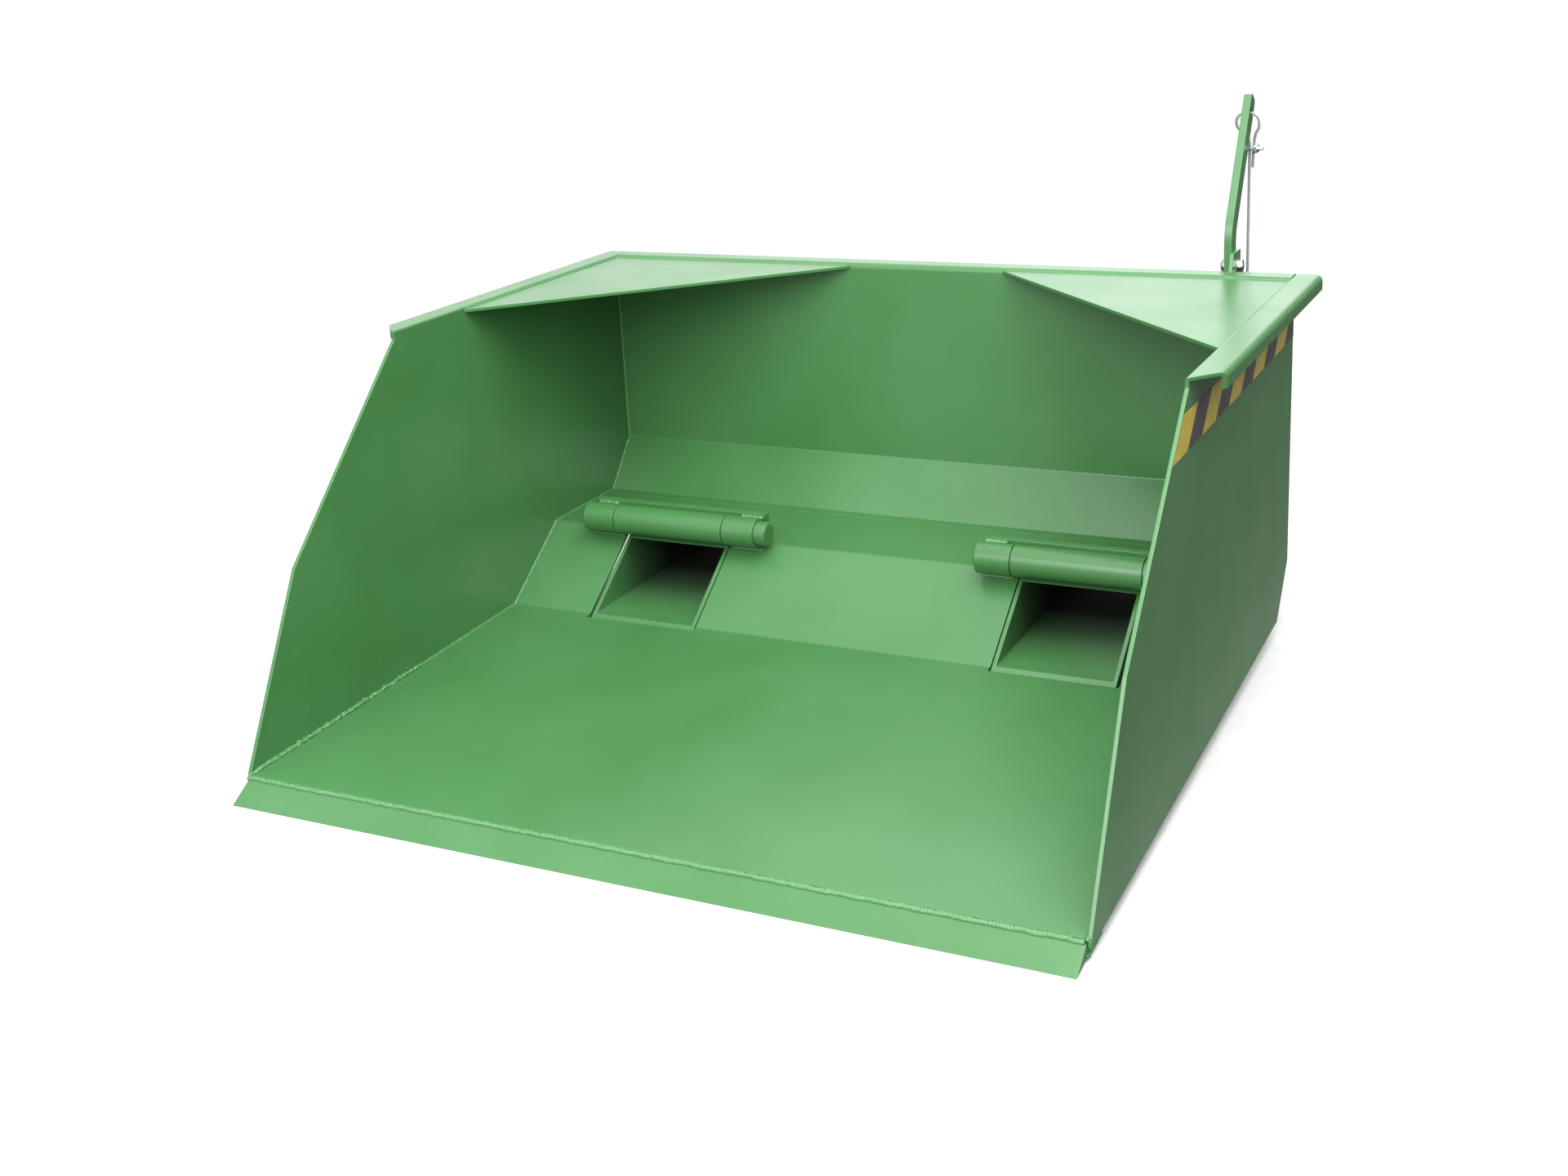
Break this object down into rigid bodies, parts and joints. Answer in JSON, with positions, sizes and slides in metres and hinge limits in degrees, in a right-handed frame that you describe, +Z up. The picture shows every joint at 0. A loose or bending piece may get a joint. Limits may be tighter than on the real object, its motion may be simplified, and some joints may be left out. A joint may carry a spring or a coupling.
{
  "type": "fork-mounted tipping bucket",
  "caption": "Open steel tipping bucket with a cutting edge, hinged on a frame of fork pockets and released by a lever with a pull rope.",
  "frame": {"origin": "on the ground, midway across and midway from the cutting edge's tip to the release lever's end", "axes": "+X to the bucket's right, +Y from the cutting edge to the lever, +Z up"},
  "size_m": [1.274, 1.3011, 0.823],
  "materials": {
    "green_paint": "semi-gloss",
    "bolt_steel": "satin",
    "zinc": "satin",
    "wire_rope": "satin",
    "grip": "matte",
    "tape": "gloss"
  },
  "bodies": {
    "fork_frame": {"fork_pocket_left": "green_paint", "fork_pocket_right": "green_paint", "skid_left": "green_paint", "skid_right": "green_paint", "front_cross_tube": "green_paint", "rear_cross_tube": "green_paint", "frame_barrel_left": "green_paint", "frame_barrel_right": "green_paint", "catch_plate": "green_paint", "catch_stud": "green_paint"},
    "bucket": {"back_sheet": "green_paint", "bucket_barrel_left_in": "green_paint", "bucket_barrel_left_out": "green_paint", "bucket_barrel_right_in": "green_paint", "bucket_barrel_right_out": "green_paint", "corner_gusset_left": "green_paint", "corner_gusset_right": "green_paint", "cutting_edge": "green_paint", "floor_sheet": "green_paint", "hazard_tape_left": "tape", "hazard_tape_right": "tape", "hinge_bar_left": "green_paint", "hinge_bar_right": "green_paint", "hinge_pin_left": "green_paint", "hinge_pin_right": "green_paint", "lever_ear": "green_paint", "pivot_bolt": "bolt_steel", "pivot_nut": "bolt_steel", "pivot_washer": "bolt_steel", "side_plate_left": "green_paint", "side_plate_right": "green_paint"},
    "lever": {"release_lever": "green_paint", "pull_rope": "wire_rope", "rope_clip_bolt": "zinc", "rope_clip_saddle": "zinc", "rope_clip_nut_front": "zinc", "rope_clip_nut_back": "zinc", "pull_grip": "grip", "rope_ferrule": "zinc"}
  },
  "joints": [
    {"name": "bucket_tip", "type": "hinge", "parent": "fork_frame", "child": "bucket", "pos_m": [0, 0.1645, 0.17], "axis": [1, 0, 0], "range_deg": [0, 50]},
    {"name": "lever_release", "type": "hinge", "parent": "bucket", "child": "lever", "pos_m": [0.488, 0.5165, 0.568], "axis": [1, 0, 0], "range_deg": [-2, 4]}
  ]
}
